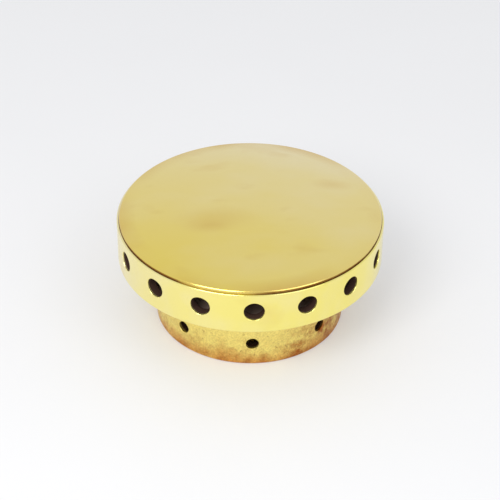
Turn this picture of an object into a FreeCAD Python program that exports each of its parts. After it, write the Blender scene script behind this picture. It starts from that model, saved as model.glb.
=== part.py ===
"""Closed-top brass spirit stove: a cast skirt that holds the spirit cup and its wick, a turning air shutter
inside the skirt, and a ported burner head that lifts off to fill the cup and to light it.

Millimetres, +Z up. The origin is the centre of the skirt's foot, on the surface that the stove stands on.
Each piece is written to parts/NAME.step. Pieces of revolution are outlines of (radius, height, fillet).
"""

import FreeCAD, Part
import math
import os

# ---------------------------------------------------------------- overall sizes
HEAD_R = 38.0            # outside radius of the burner head
SKIRT_R = 27.3           # outside radius of the skirt
SEAT_Z = 19.9            # top of the skirt, where the head rests
BAND_H = 12.5            # height of the polished band, up to the cover's seam
COVER_RISE = 3.0         # cover's crown above its own seat

# ---------------------------------------------------------------- walls and clearances
SKIRT_WALL = 2.8
BAND_WALL = 3.0
FLOOR_T = 2.4            # floor of the burner head
CUP_WALL = 0.7
SHUTTER_WALL = 1.4
TURN_GAP = 0.2           # radial gap of the pieces that turn in the skirt
LIFT_GAP = 0.1           # height gap between pieces that part or turn
SEAT_GAP = 0.05          # gap under the head's floor, on the skirt's top
SCREW_GAP = 0.05         # radial gap between a thread and its hole
CUT_PAST = 1.0           # drills and cutters run this far past what they cut

# ---------------------------------------------------------------- holes
PORT_COUNT = 16          # flame ports in the band
PORT_D = 5.6
PORT_DROP = 5.5          # port centres below the cover's seam
AIR_COUNT = 8            # air holes in the skirt
AIR_D = 3.6
AIR_Z = 7.2
FRONT = -90.0            # azimuth of the first port and the first air hole, degrees

# ---------------------------------------------------------------- base plate and its snap ring
PLATE_LAND = 1.2         # the plate's edge stands this far under the skirt's wall
PLATE_T = 1.5
PLATE_Z = 1.1            # underside of the plate above the foot
PLATE_GAP = 0.1
PLATE_EDGE_ROUND = 0.2
RING_WIRE = 1.0          # wire diameter of the snap ring
RING_GAP_DEG = 26.0      # open part of the snap ring

# ---------------------------------------------------------------- spirit cup, wick and screw
AIR_WAY_W = 2.4          # way for air between the cup's lip and the shutter
CUP_DROP = 3.3           # cup's lip below the skirt's top
CUP_BEAD = 0.7           # the rolled lip stands this far outside the wall
CUP_FOOT_ROUND = 1.6
CUP_FLOOR_ROUND = 0.9
BEAD_UNDER_ROUND = 0.42
BEAD_TOP_ROUND = 0.63
SPACER_R = 9.0
SPACER_T = 0.8
BOSS_R = 3.5             # blind boss inside the cup, for the screw
BOSS_H = 3.4
SCREW_R = 1.5
SCREW_HEAD_R = 2.9
SCREW_SLOT = 0.8
SCREW_SLOT_DEPTH = 0.7
WICK_GAP = 0.2
WICK_T = 6.8
WICK_FOOT_ROUND = 1.2
WICK_TOP_ROUND = 0.6
GAUZE_T = 0.6
CLIP_WIRE = 0.9
CLIP_GAP_DEG = 18.0      # open part of the gauze's clip
CLIP_GAP_AT = 60.0       # azimuth of the middle of that gap

# ---------------------------------------------------------------- air shutter
SHUTTER_TRAVEL_DEG = 15.0
NOTCH_DEPTH = 2.4
STOP_R = 0.6             # radius of the stop pin
STOP_SLACK = 0.2
DOWEL_R = 0.6            # radius of the two drive dowels
DOWEL_GRIP = 2.2         # length held in the head's neck
DOWEL_REACH = 1.9        # length that stands down into the shutter's notch
DOWEL_SLACK = 0.3
DOWEL_AZIMUTHS = (0.0, 180.0)

# ---------------------------------------------------------------- burner head
NECK_WALL = 2.2
NECK_DROP = 3.4          # neck below the floor's underside
BRIDGE_LEDGE = 0.8       # radial width of the ledge that the bridge pulls on
BRIDGE_LEDGE_UP = 0.7    # ledge above the floor's underside
BRIDGE_T = 2.0
BRIDGE_ARMS = 3
BRIDGE_ARM_W = 5.0
BRIDGE_HUB_R = 5.5
BRIDGE_GAP = 0.1         # radial gap between the bridge's arms and the neck
BRIDGE_FIRST_ARM = 90.0  # azimuth of one arm
EDGE_SET_IN = 0.6        # cover's edge inside the band's face
GASKET_T = 0.3
GASKET_SET_IN = 0.1      # gasket's edge inside the cover's
COVER_EDGE_H = 0.7       # height of the cover's rounded edge
COVER_T = 2.2
COVER_BEVEL_W = 1.2      # bevel between the locating rim and the cover's underside
COVER_BEVEL_H = 0.6
SPIGOT_T = 1.6           # cover's locating rim below the seam
SPIGOT_W = 1.9
SPIGOT_GAP = 0.1
COVER_BOSS_R = 4.6
COVER_BOSS_H = 4.6
BOSS_BEVEL = 0.6         # bevel where the boss meets the cover
STUD_R = 2.0
STUD_THREAD = 3.8        # stud's length inside the cover's boss
BAFFLE_R = 13.0
BAFFLE_T = 0.8
BAFFLE_DISH = 2.2
BAFFLE_FLAT_W = 1.0      # flat of the baffle outside the cover's boss
BAFFLE_BEND = 0.6
NUT_FLATS = 7.0
NUT_H = 2.2
NUT_CHAMFER_DEG = 30.0
WASHER_R = 4.5
WASHER_T = 0.6
STUD_TAIL = 0.6          # stud past its lower nut
BREAK = 0.4              # broken edges of turned pieces

# ---------------------------------------------------------------- rounded edges
FOOT_ROUND = 0.5
BAND_FOOT_ROUND = 0.35
BAND_TOP_ROUND = 0.3
BAND_FLOOR_ROUND = 1.0   # fillet between the band's inside and the floor

# ---------------------------------------------------------------- places worked out from the sizes above
SEAM_Z = SEAT_Z + BAND_H
PORT_Z = SEAM_Z - PORT_DROP
SKIRT_BORE_R = SKIRT_R - SKIRT_WALL
PLATE_R = SKIRT_BORE_R + PLATE_LAND
PLATE_TOP_Z = PLATE_Z + PLATE_T
RING_R = PLATE_R + PLATE_GAP
CUP_Z = PLATE_TOP_Z + SPACER_T
CUP_FLOOR_Z = CUP_Z + CUP_WALL
CUP_TOP_Z = SEAT_Z - CUP_DROP
BOSS_TOP_Z = CUP_FLOOR_Z + BOSS_H
WICK_TOP_Z = CUP_FLOOR_Z + WICK_T
GAUZE_TOP_Z = WICK_TOP_Z + GAUZE_T
SHUTTER_R = SKIRT_BORE_R - TURN_GAP
SHUTTER_BORE_R = SHUTTER_R - SHUTTER_WALL
SHUTTER_MIDDLE_R = (SHUTTER_R + SHUTTER_BORE_R) / 2
SHUTTER_Z = PLATE_TOP_Z + LIFT_GAP
CUP_R = SHUTTER_BORE_R - AIR_WAY_W - CUP_BEAD
CUP_BORE_R = CUP_R - CUP_WALL
STOP_AT = FRONT + 180.0 / AIR_COUNT
FLOOR_Z = SEAT_Z + SEAT_GAP
FLOOR_TOP_Z = FLOOR_Z + FLOOR_T
NECK_R = SKIRT_BORE_R - TURN_GAP
NECK_BORE_R = NECK_R - NECK_WALL
NECK_Z = SEAT_Z - NECK_DROP
SHUTTER_TOP_Z = NECK_Z - 3 * LIFT_GAP
DOWEL_PLACE_R = (NECK_R + NECK_BORE_R) / 2
LEDGE_Z = FLOOR_Z + BRIDGE_LEDGE_UP
BRIDGE_Z = LEDGE_Z - BRIDGE_T
BAND_BORE_R = HEAD_R - BAND_WALL
COVER_R = HEAD_R - EDGE_SET_IN
COVER_SEAT_Z = SEAM_Z + GASKET_T
SPIGOT_R = BAND_BORE_R - SPIGOT_GAP
SPIGOT_Z = SEAM_Z - SPIGOT_T
CROWN_Z = COVER_SEAT_Z + COVER_RISE
UNDER_COVER_Z = CROWN_Z - COVER_T
BOSS_FACE_Z = UNDER_COVER_Z - COVER_BOSS_H
BAFFLE_Z = BOSS_FACE_Z - BAFFLE_T
WASHER_Z = BRIDGE_Z - WASHER_T
BRIDGE_NUT_Z = WASHER_Z - NUT_H
STUD_Z = BRIDGE_NUT_Z - STUD_TAIL


# ---------------------------------------------------------------- helpers
def at(radius, azimuth_deg, height=0.0):
    """The point at a radius, azimuth and height."""
    a = math.radians(azimuth_deg)
    return FreeCAD.Vector(radius * math.cos(a), radius * math.sin(a), height)


def outline(corners):
    """A closed wire in the XZ plane through corners of (radius, height) or (radius, height, fillet)."""
    points = [FreeCAD.Vector(c[0], 0, c[1]) for c in corners]
    fillets = [c[2] if len(c) > 2 else 0.0 for c in corners]
    starts, ends, arcs = [], [], []
    for i, corner in enumerate(points):
        back = (points[i - 1] - corner).normalize()
        ahead = (points[(i + 1) % len(points)] - corner).normalize()
        if not fillets[i]:
            starts.append(corner)
            ends.append(corner)
            arcs.append(None)
            continue
        half = back.getAngle(ahead) / 2
        reach = fillets[i] / math.tan(half)
        middle = (back + ahead).normalize()
        centre = corner + middle * (fillets[i] / math.sin(half))
        starts.append(corner + back * reach)
        ends.append(corner + ahead * reach)
        arcs.append(centre - middle * fillets[i])
    edges = []
    for i, corner in enumerate(points):
        if arcs[i] is not None:
            edges.append(Part.Arc(starts[i], arcs[i], ends[i]).toShape())
        after = (i + 1) % len(points)
        if (starts[after] - ends[i]).Length > 1e-7:
            edges.append(Part.LineSegment(ends[i], starts[after]).toShape())
    return Part.Wire(edges)


def spin(wire):
    """The solid that a closed wire in the XZ plane sweeps in a full turn about Z."""
    solid = Part.Face(wire).revolve(FreeCAD.Vector(), FreeCAD.Vector(0, 0, 1), 360)
    return Part.Solid(solid) if solid.ShapeType == "Shell" else solid


def turned(corners):
    """A turned piece from its outline."""
    return spin(outline(corners))


def rod(radius, low, high, place=None):
    """An upright round bar between two heights, on the Z axis or at a place."""
    foot = FreeCAD.Vector(place.x, place.y, low) if place else FreeCAD.Vector(0, 0, low)
    return Part.makeCylinder(radius, high - low, foot)


def radial_drills(count, diameter, height, inner, outer, first=FRONT):
    """Drills that point outwards, evenly spaced about Z, through a wall from an inner to an outer radius."""
    inner, outer = inner - CUT_PAST, outer + CUT_PAST
    drills = []
    for i in range(count):
        azimuth = first + i * 360.0 / count
        drills.append(
            Part.makeCylinder(diameter / 2, outer - inner, at(inner, azimuth, height), at(1.0, azimuth))
        )
    return drills


def sector(inner, outer, low, high, start_deg, end_deg):
    """A curved block between two radii, heights and azimuths."""
    corners = [(inner, low), (outer, low), (outer, high), (inner, high)]
    face = Part.Face(outline(corners))
    face.rotate(FreeCAD.Vector(), FreeCAD.Vector(0, 0, 1), start_deg)
    return face.revolve(FreeCAD.Vector(), FreeCAD.Vector(0, 0, 1), end_deg - start_deg)


def split_ring(radius, wire_d, height, gap_deg, middle_of_gap):
    """A round-wire ring about Z with a gap in it."""
    ring = Part.makeTorus(
        radius, wire_d / 2, FreeCAD.Vector(0, 0, height), FreeCAD.Vector(0, 0, 1), 0, 360, 360 - gap_deg
    )
    ring.rotate(FreeCAD.Vector(), FreeCAD.Vector(0, 0, 1), middle_of_gap + gap_deg / 2)
    return ring


def hex_nut(low, bore):
    """A thin hexagon nut with chamfered corners."""
    across_corners = NUT_FLATS / math.sqrt(3)
    corners = [at(across_corners, 30 + 60 * i, low) for i in range(7)]
    prism = Part.Face(Part.makePolygon(corners)).extrude(FreeCAD.Vector(0, 0, NUT_H))
    chamfer = (across_corners - NUT_FLATS / 2) * math.tan(math.radians(NUT_CHAMFER_DEG))
    round_off = turned(
        [
            (0, low),
            (NUT_FLATS / 2, low),
            (across_corners, low + chamfer),
            (across_corners, low + NUT_H - chamfer),
            (NUT_FLATS / 2, low + NUT_H),
            (0, low + NUT_H),
        ]
    )
    return prism.common(round_off).cut(rod(bore, low - CUT_PAST, low + NUT_H + CUT_PAST))


# ---------------------------------------------------------------- base: skirt, plate, cup and wick
def base_skirt():
    """Cast skirt with its foot, plate rebate, snap-ring groove and drilled air holes."""
    body = turned(
        [
            (RING_R, 0),
            (SKIRT_R, 0, FOOT_ROUND),
            (SKIRT_R, SEAT_Z, BREAK),
            (SKIRT_BORE_R, SEAT_Z),
            (SKIRT_BORE_R, PLATE_TOP_Z),
            (RING_R, PLATE_TOP_Z),
        ]
    )
    groove = Part.makeTorus(RING_R, RING_WIRE / 2 + SCREW_GAP, FreeCAD.Vector(0, 0, PLATE_Z - RING_WIRE / 2))
    drills = radial_drills(AIR_COUNT, AIR_D, AIR_Z, SKIRT_BORE_R, SKIRT_R)
    return body.cut([groove] + drills)


def base_plate():
    """Disc that closes the skirt's bottom, countersunk for the cup's screw, with the stop pin's hole."""
    disc = turned(
        [(0, PLATE_Z), (PLATE_R, PLATE_Z, PLATE_EDGE_ROUND), (PLATE_R, PLATE_TOP_Z), (0, PLATE_TOP_Z)]
    )
    sink = Part.makeCone(
        SCREW_HEAD_R + SCREW_GAP, SCREW_R + SCREW_GAP, SCREW_HEAD_R - SCREW_R, FreeCAD.Vector(0, 0, PLATE_Z)
    )
    hole = rod(SCREW_R + SCREW_GAP, PLATE_Z, PLATE_TOP_Z)
    return disc.cut([sink, hole, rod(STOP_R, PLATE_Z, PLATE_TOP_Z, stop_place())])


def base_snap_ring():
    """Wire ring sprung into the skirt's groove, under the plate."""
    return split_ring(RING_R, RING_WIRE, PLATE_Z - RING_WIRE / 2, RING_GAP_DEG, 90)


def stop_place():
    """Where the stop pin stands: under the middle of the shutter's wall, between two air holes."""
    return at(SHUTTER_MIDDLE_R, STOP_AT)


def stop_pin():
    """Pin in the base plate that ends the shutter's travel both ways."""
    return rod(STOP_R, PLATE_Z, SHUTTER_Z + NOTCH_DEPTH - LIFT_GAP * 2, stop_place())


def cup_spacer():
    """Heat-break washer between the plate and the cup."""
    bore = SCREW_R + SCREW_GAP
    return turned([(bore, PLATE_TOP_Z), (SPACER_R, PLATE_TOP_Z), (SPACER_R, CUP_Z), (bore, CUP_Z)])


def fuel_cup():
    """Drawn cup with a rolled lip and a blind threaded boss."""
    bead = CUP_BEAD
    shell = turned(
        [
            (0, CUP_Z),
            (CUP_R, CUP_Z, CUP_FOOT_ROUND),
            (CUP_R, CUP_TOP_Z - 2 * bead),
            (CUP_R + bead, CUP_TOP_Z - 2 * bead, BEAD_UNDER_ROUND),
            (CUP_R + bead, CUP_TOP_Z, BEAD_TOP_ROUND),
            (CUP_BORE_R, CUP_TOP_Z, CUP_WALL / 2),
            (CUP_BORE_R, CUP_FLOOR_Z, CUP_FLOOR_ROUND),
            (BOSS_R, CUP_FLOOR_Z, BREAK),
            (BOSS_R, BOSS_TOP_Z, BREAK),
            (0, BOSS_TOP_Z),
        ]
    )
    return shell.cut(rod(SCREW_R + SCREW_GAP, CUP_Z, BOSS_TOP_Z - CUP_WALL))


def cup_screw():
    """Countersunk slotted screw, from under the plate into the cup's boss."""
    taper = SCREW_HEAD_R - SCREW_R
    tip = BOSS_TOP_Z - CUP_WALL - BREAK
    body = turned(
        [(0, PLATE_Z), (SCREW_HEAD_R, PLATE_Z), (SCREW_R, PLATE_Z + taper), (SCREW_R, tip, BREAK), (0, tip)]
    )
    corner = FreeCAD.Vector(-2 * SCREW_HEAD_R, -SCREW_SLOT / 2, PLATE_Z)
    slot = Part.makeBox(4 * SCREW_HEAD_R, SCREW_SLOT, SCREW_SLOT_DEPTH, corner)
    return body.cut(slot)


def wick_pad():
    """Absorbent packing that fills the cup around its boss."""
    edge = CUP_BORE_R - WICK_GAP
    recess = BOSS_R + WICK_GAP
    return turned(
        [
            (recess, CUP_FLOOR_Z + LIFT_GAP),
            (edge, CUP_FLOOR_Z + LIFT_GAP, WICK_FOOT_ROUND),
            (edge, WICK_TOP_Z, WICK_TOP_ROUND),
            (0, WICK_TOP_Z),
            (0, BOSS_TOP_Z + WICK_GAP),
            (recess, BOSS_TOP_Z + WICK_GAP),
        ]
    )


def wick_gauze():
    """Disc of wire gauze that keeps the packing down."""
    return rod(CUP_BORE_R - WICK_GAP, WICK_TOP_Z, GAUZE_TOP_Z)


def gauze_clip():
    """Split wire ring that springs against the cup's wall over the gauze."""
    reach = CUP_BORE_R - CLIP_WIRE / 2 - WICK_GAP / 2
    return split_ring(reach, CLIP_WIRE, GAUZE_TOP_Z + CLIP_WIRE / 2, CLIP_GAP_DEG, CLIP_GAP_AT)


# ---------------------------------------------------------------- shutter
def air_shutter():
    """Thin sleeve: one hole behind each air hole, a notch for the stop pin and two for the drive dowels."""
    inner, outer = SHUTTER_BORE_R - CUT_PAST, SHUTTER_R + CUT_PAST
    sleeve = rod(SHUTTER_R, SHUTTER_Z, SHUTTER_TOP_Z).cut(rod(SHUTTER_BORE_R, SHUTTER_Z, SHUTTER_TOP_Z))
    tools = radial_drills(AIR_COUNT, AIR_D, AIR_Z, SHUTTER_BORE_R, SHUTTER_R)
    half = math.degrees((STOP_R + STOP_SLACK) / SHUTTER_MIDDLE_R)
    start = STOP_AT - SHUTTER_TRAVEL_DEG - half
    tools.append(sector(inner, outer, SHUTTER_Z - CUT_PAST, SHUTTER_Z + NOTCH_DEPTH, start, STOP_AT + half))
    half = math.degrees((DOWEL_R + DOWEL_SLACK) / SHUTTER_MIDDLE_R)
    floor = SHUTTER_TOP_Z - NOTCH_DEPTH
    for azimuth in DOWEL_AZIMUTHS:
        tools.append(sector(inner, outer, floor, SHUTTER_TOP_Z + CUT_PAST, azimuth - half, azimuth + half))
    return sleeve.cut(tools)


# ---------------------------------------------------------------- burner head
def head_ring():
    """Ported ring: band, floor and the neck that drops into the skirt, in one casting."""
    body = turned(
        [
            (NECK_BORE_R, NECK_Z, BREAK),
            (NECK_R, NECK_Z, BREAK),
            (NECK_R, FLOOR_Z),
            (HEAD_R, FLOOR_Z, BAND_FOOT_ROUND),
            (HEAD_R, SEAM_Z, BAND_TOP_ROUND),
            (BAND_BORE_R, SEAM_Z),
            (BAND_BORE_R, FLOOR_TOP_Z, BAND_FLOOR_ROUND),
            (NECK_BORE_R - BRIDGE_LEDGE, FLOOR_TOP_Z, BREAK),
            (NECK_BORE_R - BRIDGE_LEDGE, LEDGE_Z),
            (NECK_BORE_R, LEDGE_Z),
        ]
    )
    drills = radial_drills(PORT_COUNT, PORT_D, PORT_Z, BAND_BORE_R, HEAD_R)
    drills += dowel_rods(NECK_Z - CUT_PAST)
    return body.cut(drills)


def dowel_rods(low):
    """The drive dowels' round bars, from a height up to the end of their holes in the neck."""
    return [rod(DOWEL_R, low, NECK_Z + DOWEL_GRIP, at(DOWEL_PLACE_R, azimuth)) for azimuth in DOWEL_AZIMUTHS]


def drive_dowels():
    """Two dowels pressed up into the neck, which turn the shutter with the head."""
    return Part.makeCompound(dowel_rods(NECK_Z - DOWEL_REACH))


def cover_gasket():
    """Flat sealing ring under the cover's edge."""
    inner = BAND_BORE_R + SPIGOT_GAP
    outer = COVER_R - GASKET_SET_IN
    return turned([(inner, SEAM_Z), (outer, SEAM_Z), (outer, COVER_SEAT_Z), (inner, COVER_SEAT_Z)])


def head_cover():
    """Domed cover: a crown that rolls off to a rounded edge, a locating rim and a threaded boss below."""
    edge_top = COVER_SEAT_Z + COVER_EDGE_H
    crown = FreeCAD.Vector(0, 0, CROWN_Z)
    shoulder = FreeCAD.Vector(COVER_R - COVER_EDGE_H, 0, edge_top)
    rise = CROWN_Z - edge_top
    crown_r = (shoulder.x ** 2 + rise ** 2) / (2 * rise)
    half = math.asin(shoulder.x / crown_r) / 2
    on_crown = FreeCAD.Vector(crown_r * math.sin(half), 0, CROWN_Z - crown_r * (1 - math.cos(half)))
    corner_45 = COVER_EDGE_H * (1 - math.sqrt(0.5))
    rounded = FreeCAD.Vector(COVER_R - corner_45, 0, edge_top - corner_45)
    edge = FreeCAD.Vector(COVER_R, 0, COVER_SEAT_Z)
    below = [
        edge,
        FreeCAD.Vector(SPIGOT_R, 0, COVER_SEAT_Z),
        FreeCAD.Vector(SPIGOT_R, 0, SPIGOT_Z),
        FreeCAD.Vector(SPIGOT_R - SPIGOT_W, 0, SPIGOT_Z),
        FreeCAD.Vector(SPIGOT_R - SPIGOT_W - COVER_BEVEL_W, 0, UNDER_COVER_Z - COVER_BEVEL_H),
        FreeCAD.Vector(COVER_BOSS_R + BOSS_BEVEL, 0, UNDER_COVER_Z),
        FreeCAD.Vector(COVER_BOSS_R, 0, UNDER_COVER_Z - BOSS_BEVEL),
        FreeCAD.Vector(COVER_BOSS_R, 0, BOSS_FACE_Z),
        FreeCAD.Vector(0, 0, BOSS_FACE_Z),
        crown,
    ]
    edges = [Part.Arc(crown, on_crown, shoulder).toShape(), Part.Arc(shoulder, rounded, edge).toShape()]
    edges += [Part.LineSegment(a, b).toShape() for a, b in zip(below, below[1:])]
    solid = spin(Part.Wire(edges))
    return solid.cut(rod(STUD_R + SCREW_GAP, BOSS_FACE_Z - CUT_PAST, BOSS_FACE_Z + STUD_THREAD + BREAK))


def centre_stud():
    """Threaded stud from the cover's boss down through the baffle and the bridge."""
    top = BOSS_FACE_Z + STUD_THREAD
    return turned([(0, STUD_Z), (STUD_R, STUD_Z, BREAK), (STUD_R, top, BREAK), (0, top)])


def flame_baffle():
    """Dished disc under the boss that spreads the vapour towards the ports."""
    flat = COVER_BOSS_R + BAFFLE_FLAT_W
    low = BAFFLE_Z - BAFFLE_DISH
    return turned(
        [
            (STUD_R + SCREW_GAP, BAFFLE_Z),
            (flat, BAFFLE_Z, BAFFLE_BEND),
            (BAFFLE_R, low),
            (BAFFLE_R, low + BAFFLE_T),
            (flat, BAFFLE_Z + BAFFLE_T, BAFFLE_BEND),
            (STUD_R + SCREW_GAP, BAFFLE_Z + BAFFLE_T),
        ]
    )


def bridge():
    """Three-armed bridge that pulls the ring up against the cover."""
    reach = NECK_BORE_R - BRIDGE_GAP
    disc = rod(reach, BRIDGE_Z, LEDGE_Z)
    star = rod(BRIDGE_HUB_R, BRIDGE_Z, LEDGE_Z)
    corner = FreeCAD.Vector(0, -BRIDGE_ARM_W / 2, BRIDGE_Z)
    for i in range(BRIDGE_ARMS):
        arm = Part.makeBox(reach + CUT_PAST, BRIDGE_ARM_W, BRIDGE_T, corner)
        arm.rotate(FreeCAD.Vector(), FreeCAD.Vector(0, 0, 1), BRIDGE_FIRST_ARM + i * 360.0 / BRIDGE_ARMS)
        star = star.fuse(arm)
    plate = disc.common(star).removeSplitter()
    return plate.cut(rod(STUD_R + SCREW_GAP, BRIDGE_Z - CUT_PAST, LEDGE_Z + CUT_PAST))


def bridge_washer():
    """Plain washer under the bridge."""
    bore = STUD_R + SCREW_GAP
    return turned([(bore, WASHER_Z), (WASHER_R, WASHER_Z), (WASHER_R, BRIDGE_Z), (bore, BRIDGE_Z)])


def bridge_nut():
    """Nut that clamps the bridge, ring and cover together."""
    return hex_nut(BRIDGE_NUT_Z, STUD_R + SCREW_GAP)


def baffle_nut():
    """Nut that holds the baffle up against the cover's boss."""
    return hex_nut(BAFFLE_Z - NUT_H, STUD_R + SCREW_GAP)


PIECES = [
    base_skirt, base_plate, base_snap_ring, stop_pin, cup_spacer, fuel_cup, cup_screw, wick_pad, wick_gauze,
    gauze_clip, air_shutter, head_ring, drive_dowels, cover_gasket, head_cover, centre_stud,
    flame_baffle, baffle_nut, bridge, bridge_washer, bridge_nut,
]


def main():
    """Builds every piece, checks that it is closed, and writes it."""
    os.makedirs("parts", exist_ok=True)
    for piece in PIECES:
        shape = piece()
        solids = shape.Solids
        if not solids or not shape.isValid() or min(s.Volume for s in solids) <= 0:
            raise ValueError(piece.__name__ + " is not a set of closed solids")
        print(piece.__name__, len(solids), "solid(s)", round(sum(s.Volume for s in solids), 1), "mm3")
        shape.exportStep("parts/" + piece.__name__ + ".step")


main()
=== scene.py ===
"""Looks of a brass spirit stove: polished burner head, rough cast skirt, spirit cup, wick and shutter.

All sizes are metres in the CAD model's frame. Run as a script; it is laid out as an add-on.
"""

import math

import bmesh
import bpy
import numpy as np
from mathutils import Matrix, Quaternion, Vector


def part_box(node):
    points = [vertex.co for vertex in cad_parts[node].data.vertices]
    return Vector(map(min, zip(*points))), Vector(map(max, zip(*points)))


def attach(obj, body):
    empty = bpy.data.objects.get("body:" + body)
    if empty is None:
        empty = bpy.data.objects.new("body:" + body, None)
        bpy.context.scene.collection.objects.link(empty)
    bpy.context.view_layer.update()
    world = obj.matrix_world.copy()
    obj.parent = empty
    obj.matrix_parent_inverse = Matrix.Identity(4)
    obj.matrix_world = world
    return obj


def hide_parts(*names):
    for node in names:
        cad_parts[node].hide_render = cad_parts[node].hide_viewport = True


bl_info = {
    "name": "Brass spirit stove",
    "version": (1, 0, 0),
    "blender": (4, 5, 0),
    "location": "3D View > Sidebar > Stove",
    "description": "Builds the visible pieces of a closed-top brass spirit stove on its CAD frame",
    "category": "Object",
}

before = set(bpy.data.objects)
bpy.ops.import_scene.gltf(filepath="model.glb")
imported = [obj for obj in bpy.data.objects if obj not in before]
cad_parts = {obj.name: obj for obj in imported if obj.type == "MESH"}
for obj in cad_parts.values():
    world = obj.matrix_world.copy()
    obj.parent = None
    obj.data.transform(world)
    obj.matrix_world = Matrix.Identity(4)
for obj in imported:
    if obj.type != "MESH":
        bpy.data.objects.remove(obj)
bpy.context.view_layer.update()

MM = 0.001
TURN = 2 * np.pi
FRONT = -np.pi / 2  # azimuth of the first port and of the first air hole
WELD = 0.0005 * MM  # points nearer to each other than this are one point


def linear(code):
    """Turns an sRGB hex colour into linear red, green and blue."""
    srgb = np.array([int(code[i : i + 2], 16) for i in (1, 3, 5)]) / 255
    return tuple(np.where(srgb <= 0.04045, srgb / 12.92, ((srgb + 0.055) / 1.055) ** 2.4))


def low(node):
    """Lowest corner of a CAD node."""
    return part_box(node)[0]


def high(node):
    """Highest corner of a CAD node."""
    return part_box(node)[1]


STUD_BORE = high("centre_stud").x + 0.05 * MM
SCREW_BORE = 1.55 * MM


# ------------------------------------------------------------------ sizes and colours a user may change


def length(name, description, default):
    """A length property in metres."""
    return bpy.props.FloatProperty(
        name=name, description=description, default=default, min=0, unit="LENGTH", precision=5
    )


def colour(name, description, code):
    """A colour property from an sRGB hex value."""
    return bpy.props.FloatVectorProperty(
        name=name, description=description, default=linear(code), size=3, min=0, max=1, subtype="COLOR"
    )


class StoveSizes(bpy.types.PropertyGroup):
    """Sizes of the visible pieces."""

    band_radius: length("Band radius", "Outside radius of the burner head", high("head_ring").x)
    band_wall: length("Band wall", "Thickness of the ported band", 3.0 * MM)
    floor_low: length("Floor underside", "Height of the head's underside", 19.95 * MM)
    floor_thickness: length("Floor thickness", "Thickness of the head's floor", 2.4 * MM)
    seam: length("Seam height", "Height of the band's top edge", high("head_ring").z)
    neck_radius: length("Neck radius", "Outside radius of the head's neck", 24.3 * MM)
    neck_bore: length("Neck bore", "Inside radius of the head's neck", 22.1 * MM)
    port_count: bpy.props.IntProperty(name="Ports", description="Flame ports in the band", default=16, min=3)
    port_radius: length("Port radius", "Radius of a flame port", 2.8 * MM)
    port_height: length("Port height", "Height of the ports' centres", 26.9 * MM)
    skirt_radius: length("Skirt radius", "Outside radius of the skirt", high("base_skirt").x)
    skirt_bore: length("Skirt bore", "Inside radius of the skirt", 24.5 * MM)
    skirt_rebate: length("Skirt rebate", "Radius of the recess for the base plate", 25.8 * MM)
    skirt_top: length("Skirt top", "Height of the skirt", high("base_skirt").z)
    air_count: bpy.props.IntProperty(name="Air holes", description="Air holes in the skirt", default=8, min=3)
    air_radius: length("Air hole radius", "Radius of an air hole", 1.8 * MM)
    air_height: length("Air hole height", "Height of the air holes' centres", 7.2 * MM)
    mesh_pitch: length("Gauze pitch", "Distance between the gauze's wires", 1.25 * MM)
    mesh_wire: length("Gauze wire", "Thickness of the gauze's wires", 0.28 * MM)


class StoveColours(bpy.types.PropertyGroup):
    """Colours of the finishes."""

    cover: colour("Cover brass", "Polished brass of the cover", "#F1D966")
    band: colour("Band brass", "Polished brass of the ported band, a little greener", "#F9EC84")
    # The haze colour below also paints the pale sheen, a painted reflection, towards the back of the cover and the
    # band's sides.
    haze: colour("Haze", "Thin pale haze on the polish", "#F3E9CE")
    # The tarnish colour below also paints the warm reflection in the margin near the cover's edge.
    tarnish: colour("Tarnish", "Warmer, duller patches of the polish", "#D9B060")
    # The seam colour below also paints the shade of the seam's crease, left off at the front left where the highlight
    # lies.
    grime: colour("Grime", "Brown residue along the seam", "#8A5A1E")
    # The sooty colour below also paints the shade deep in the bores of the ports and air holes.
    soot: colour("Soot", "Soot in the mouths of the ports and air holes", "#442C22")
    oxide: colour("Oxide", "Grey-brown oxide inside the head", "#A08A80")
    cast_high: colour("Casting, upper", "Casting skin under the head", "#F1DE82")
    cast_low: colour("Casting, foot", "Coppery casting skin at the foot", "#CF9048")
    # The stain colour below also paints shade over the skirt's +x side.
    stain: colour("Stains", "Orange-brown stains of the casting", "#A8622C")
    pit: colour("Pits", "Dark pits and stains of the casting", "#7C4A1C")
    sheet: colour("Sheet brass", "Dull brass sheet", "#C9AE69")
    steel: colour("Steel", "Plain stainless steel", "#C6C5C1")
    gauze: colour("Gauze", "Heat-darkened bronze wire", "#8A6B42")
    felt: colour("Felt", "Wick packing", "#D9D3C4")
    # The ring colours below: the brown also carries painted shade of the seam, the paler varnish shows at the front
    # left, where the highlight lies.
    graphite: colour("Graphite", "Sealing ring, browned by spirit", "#8C6228")
    varnish: colour("Varnish", "Sealing ring where no residue lies", "#C9B060")
    board: colour("Fibre board", "Heat-break washer", "#A69578")
    floor: colour("Floor", "Table surface, lit a little from below", "#CACACB")


# ------------------------------------------------------------------ surfaces


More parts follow.
